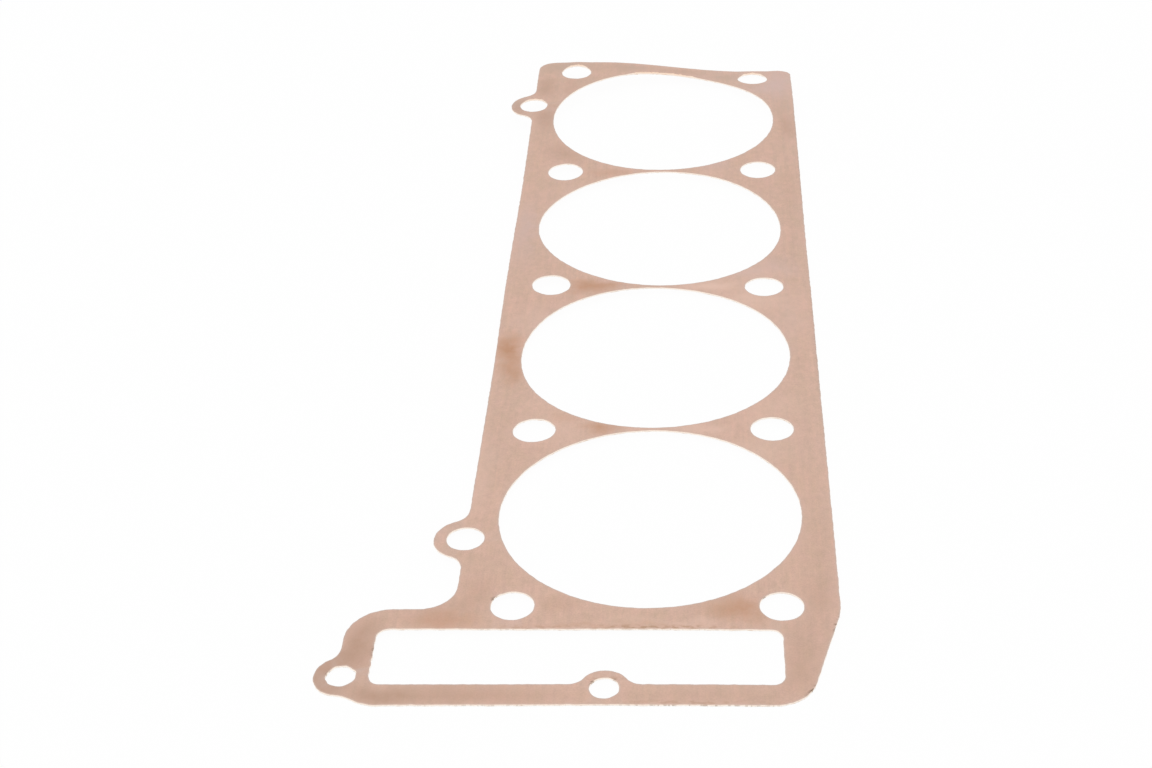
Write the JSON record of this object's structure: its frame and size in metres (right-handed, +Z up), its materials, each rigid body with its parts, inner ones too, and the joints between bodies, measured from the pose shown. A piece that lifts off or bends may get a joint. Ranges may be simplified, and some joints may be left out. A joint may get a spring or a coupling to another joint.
{
  "type": "cylinder base gasket",
  "caption": "Soft copper sheet gasket that seals a row of cylinder barrels to the crankcase, with holes for studs and dowels and a bolted frame round the timing drive.",
  "frame": {"origin": "middle of the bore row, between the two centre stud holes, on the underside of the sheet", "axes": "+Y along the bore row, away from the timing drive's end; +X to the right as seen from that end; +Z up out of the sheet towards the cylinders"},
  "size_m": [0.1277, 0.3683, 0.0005],
  "materials": {
    "copper_sheet": "matt annealed copper with faint tarnish"
  },
  "bodies": {
    "root": {"gasket": "copper_sheet"}
  },
  "joints": []
}
